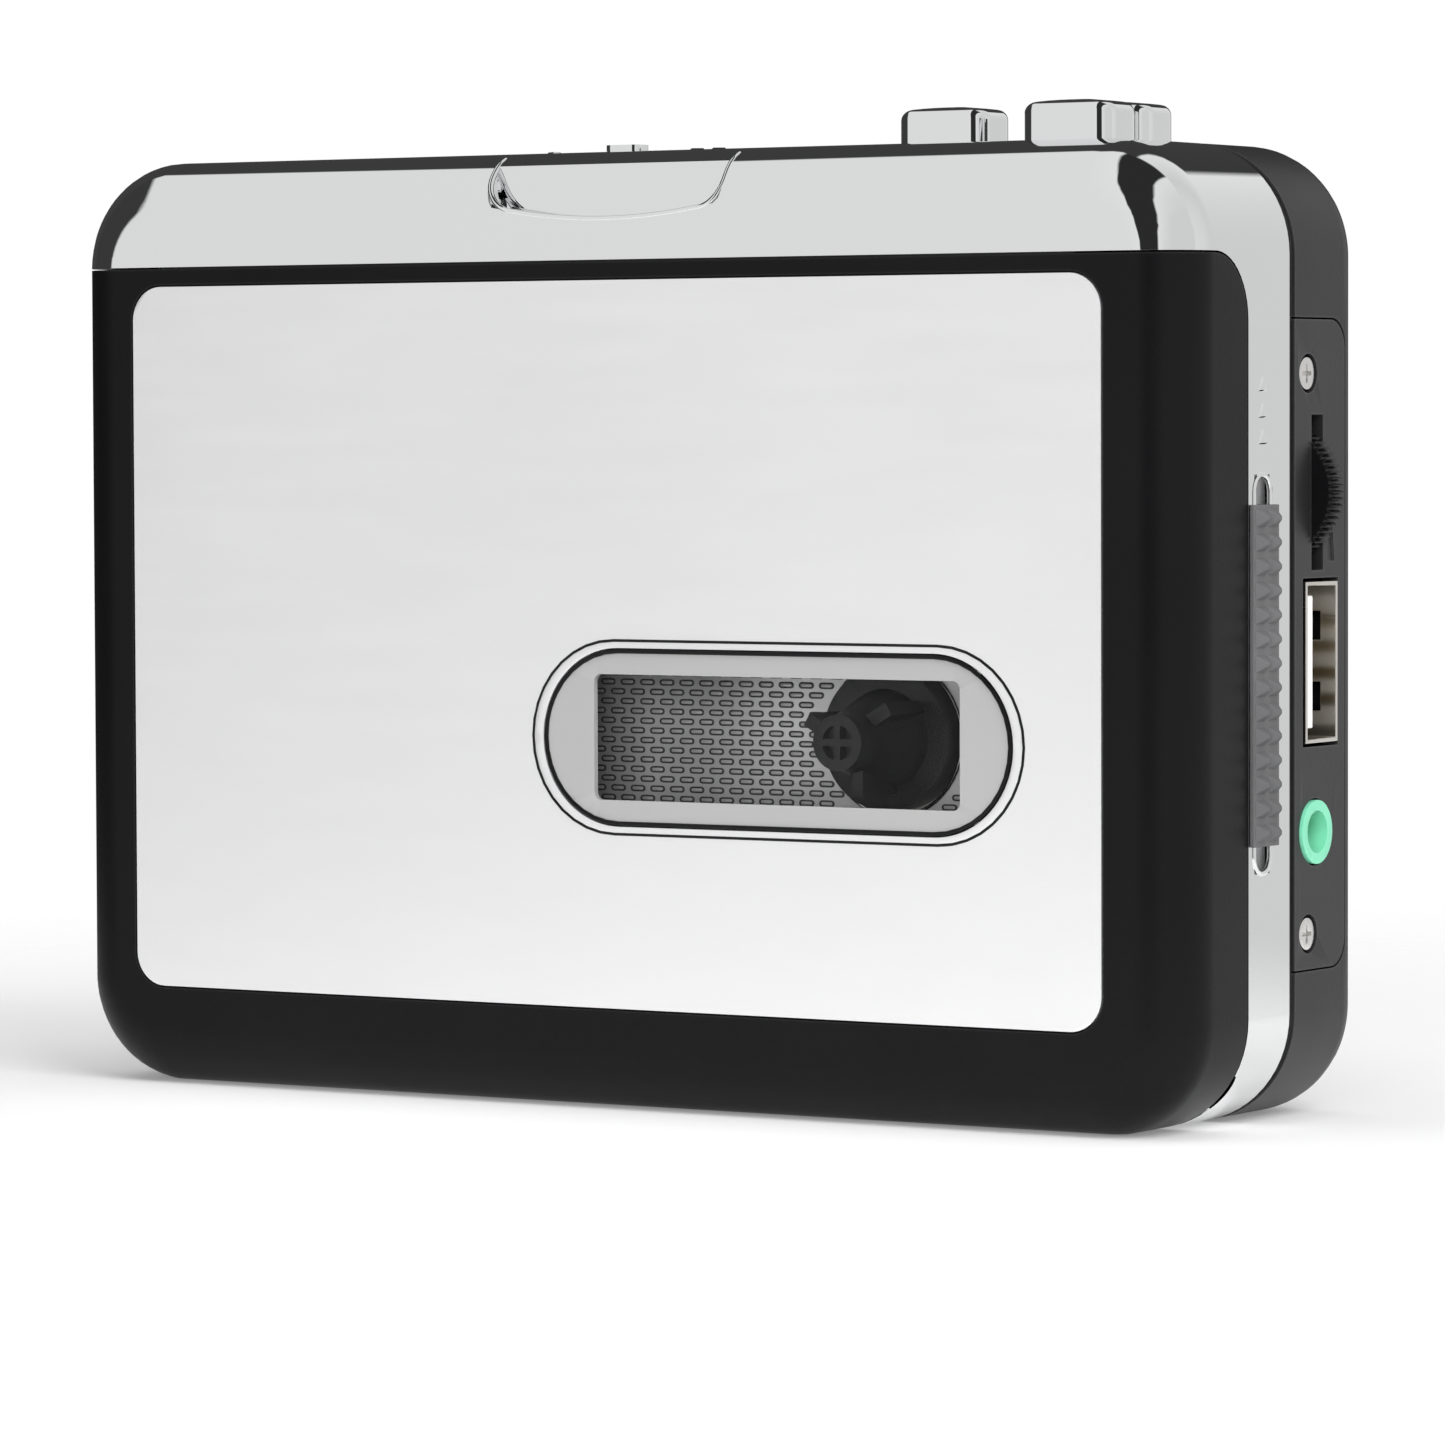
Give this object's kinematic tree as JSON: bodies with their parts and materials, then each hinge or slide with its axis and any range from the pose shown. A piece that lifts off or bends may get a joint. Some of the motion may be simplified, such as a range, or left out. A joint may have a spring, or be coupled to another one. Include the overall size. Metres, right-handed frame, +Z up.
{
  "type": "cassette player",
  "caption": "Pocket cassette player with hinged windowed door, tape drive, piano keys on top, side latch, volume wheel, audio jack, USB socket and battery bay.",
  "frame": {"origin": "middle of the case's flat bottom face, the face it stands on", "axes": "+X to the right and +Y to the back seen from the door side, +Z up towards the keys"},
  "size_m": [0.116, 0.032, 0.0859],
  "materials": {
    "chrome": "polished chrome plating on plastic",
    "rear_black": "fine satin moulded black",
    "panel_black": "fine satin moulded black",
    "door_black": "soft satin black",
    "satin_plate": "silver satin plate",
    "mask_grey": "grey print behind clear plastic",
    "clear_lens": "clear moulded plastic",
    "inner_black": "moulded black",
    "slider_grey": "grey soft-touch",
    "screw_steel": "nickel-plated steel",
    "shaft_steel": "ground steel",
    "spring_steel": "spring steel",
    "well_steel": "pressed steel with a fine staggered dash texture",
    "zinc_plate": "zinc-plated steel sheet",
    "motor_steel": "plated steel can",
    "head_metal": "polished head casing",
    "flywheel_brass": "turned brass",
    "bearing_brass": "turned brass",
    "gear_white": "white acetal",
    "belt_rubber": "black rubber",
    "usb_nickel": "nickel-plated steel",
    "tongue_white": "white moulded",
    "contact_gold": "gold-plated contacts",
    "jack_green": "mint green moulded",
    "board_green": "green solder mask",
    "chip_black": "moulded packages",
    "cell_wrap": "plain printed sleeve, no marks"
  },
  "bodies": {
    "case": {"chrome_frame": "chrome", "rear_shell": "rear_black", "side_panel": "panel_black", "side_panel_screws": "screw_steel", "case_screws": "screw_steel", "head_bay_cover": "inner_black", "well_plate": "well_steel", "chassis_plate": "zinc_plate", "main_board": "board_green", "board_parts": "chip_black", "usb_shell": "usb_nickel", "usb_tongue": "tongue_white", "usb_contacts": "contact_gold", "jack_body": "inner_black", "jack_sleeve": "jack_green", "volume_pot": "inner_black", "motor_can": "motor_steel", "capstan_bearing": "bearing_brass", "drive_belt": "belt_rubber", "battery_contacts": "spring_steel", "battery_cells": "cell_wrap"},
    "door": {"door": "door_black", "door_plate": "satin_plate", "window_ring": "satin_plate", "window_mask": "mask_grey", "window_lens": "clear_lens", "hinge_pins": "screw_steel", "cassette_guides": "inner_black", "pressure_springs": "spring_steel"},
    "play_button": {"play_key": "chrome", "play_slider": "zinc_plate", "play_spring": "spring_steel"},
    "forward_button": {"forward_key": "chrome", "forward_spring": "spring_steel"},
    "stop_button": {"stop_key": "chrome", "stop_spring": "spring_steel"},
    "open_latch": {"open_slider": "slider_grey", "latch_plate": "zinc_plate", "latch_spring": "spring_steel"},
    "volume_dial": {"volume_wheel": "inner_black"},
    "capstan": {"capstan_shaft": "shaft_steel", "flywheel": "flywheel_brass", "capstan_pinion": "gear_white"},
    "motor_rotor": {"motor_pulley": "bearing_brass"},
    "idler": {"idler_gear": "gear_white"},
    "take_up_reel": {"take_up_gear": "gear_white", "take_up_spindle": "inner_black"},
    "supply_reel": {"supply_gear": "gear_white", "supply_spindle": "inner_black"},
    "head_carriage": {"head_bridge": "zinc_plate", "tape_head": "head_metal", "tape_guide": "gear_white", "head_screws": "screw_steel"},
    "pinch_lever": {"pinch_arm": "zinc_plate", "pinch_axle": "shaft_steel"},
    "pinch_wheel": {"pinch_roller": "belt_rubber"},
    "hatch": {"battery_cover": "rear_black"},
    "nub_press": {"nub_stem": "inner_black"},
    "nub_cap": {"control_nub": "chrome"}
  },
  "joints": [
    {"name": "door_hinge", "type": "hinge", "parent": "case", "child": "door", "pos_m": [0, -0.0072, 0.004], "axis": [1, 0, 0], "range_deg": [0, 55]},
    {"name": "play_press", "type": "slide", "parent": "case", "child": "play_button", "axis": [0, 0, -1], "range_m": [0, 0.003], "stiffness_N_per_m": 300, "springref_m": -0.0005, "deforming": ["play_spring"]},
    {"name": "forward_press", "type": "slide", "parent": "case", "child": "forward_button", "axis": [0, 0, -1], "range_m": [0, 0.003], "stiffness_N_per_m": 300, "springref_m": -0.0005, "deforming": ["forward_spring"]},
    {"name": "stop_press", "type": "slide", "parent": "case", "child": "stop_button", "axis": [0, 0, -1], "range_m": [0, 0.003], "stiffness_N_per_m": 300, "springref_m": -0.0005, "deforming": ["stop_spring"]},
    {"name": "open_slide", "type": "slide", "parent": "case", "child": "open_latch", "axis": [0, 0, 1], "range_m": [0, 0.0022], "stiffness_N_per_m": 250, "springref_m": -0.0005, "deforming": ["latch_spring"]},
    {"name": "volume_turn", "type": "hinge", "parent": "case", "child": "volume_dial", "pos_m": [0.053, 0.00742, 0.0531], "axis": [0, 1, 0], "range_deg": [-135, 135]},
    {"name": "capstan_spin", "type": "hinge", "parent": "case", "child": "capstan", "pos_m": [-0.0235, 0, 0.061], "axis": [0, 1, 0], "continuous": true},
    {"name": "motor_spin", "type": "hinge", "parent": "case", "child": "motor_rotor", "pos_m": [0.03, 0, 0.057], "axis": [0, 1, 0], "continuous": true},
    {"name": "idler_spin", "type": "hinge", "parent": "case", "child": "idler", "pos_m": [-0.02276, 0, 0.05148], "axis": [0, 1, 0], "continuous": true},
    {"name": "take_up_spin", "type": "hinge", "parent": "case", "child": "take_up_reel", "pos_m": [-0.02125, 0, 0.032], "axis": [0, 1, 0], "continuous": true},
    {"name": "supply_spin", "type": "hinge", "parent": "case", "child": "supply_reel", "pos_m": [0.02125, 0, 0.032], "axis": [0, 1, 0], "continuous": true},
    {"name": "head_advance", "type": "slide", "parent": "case", "child": "head_carriage", "axis": [0, 0, -1], "range_m": [0, 0.003]},
    {"name": "pinch_swing", "type": "hinge", "parent": "case", "child": "pinch_lever", "pos_m": [-0.038, 0, 0.073], "axis": [0, 1, 0], "range_deg": [0, 20.1]},
    {"name": "pinch_spin", "type": "hinge", "parent": "pinch_lever", "child": "pinch_wheel", "pos_m": [-0.02234, 0, 0.0724], "axis": [0, 1, 0], "continuous": true},
    {"name": "battery_cover_pull", "type": "slide", "parent": "case", "child": "hatch", "axis": [0, 1, 0], "range_m": [0, 0.025]},
    {"name": "nub_press_travel", "type": "slide", "parent": "case", "child": "nub_press", "axis": [0, 0, -1], "range_m": [0, 0.0004], "stiffness_N_per_m": 300, "springref_m": -0.0003},
    {"name": "nub_tilt", "type": "hinge", "parent": "nub_press", "child": "nub_cap", "pos_m": [-0.002, -0.0083, 0.081], "axis": [0, 1, 0], "range_deg": [-5, 5], "stiffness_Nm_per_rad": 0.01}
  ],
  "couplings": [
    {"joint": "motor_spin", "follows": "capstan_spin", "ratio": 6.3208},
    {"joint": "idler_spin", "follows": "capstan_spin", "ratio": -0.46154},
    {"joint": "take_up_spin", "follows": "capstan_spin", "ratio": 0.23077},
    {"joint": "head_advance", "follows": "play_press", "ratio": 1},
    {"joint": "pinch_swing", "follows": "play_press", "rad_per_m": 116.93}
  ]
}
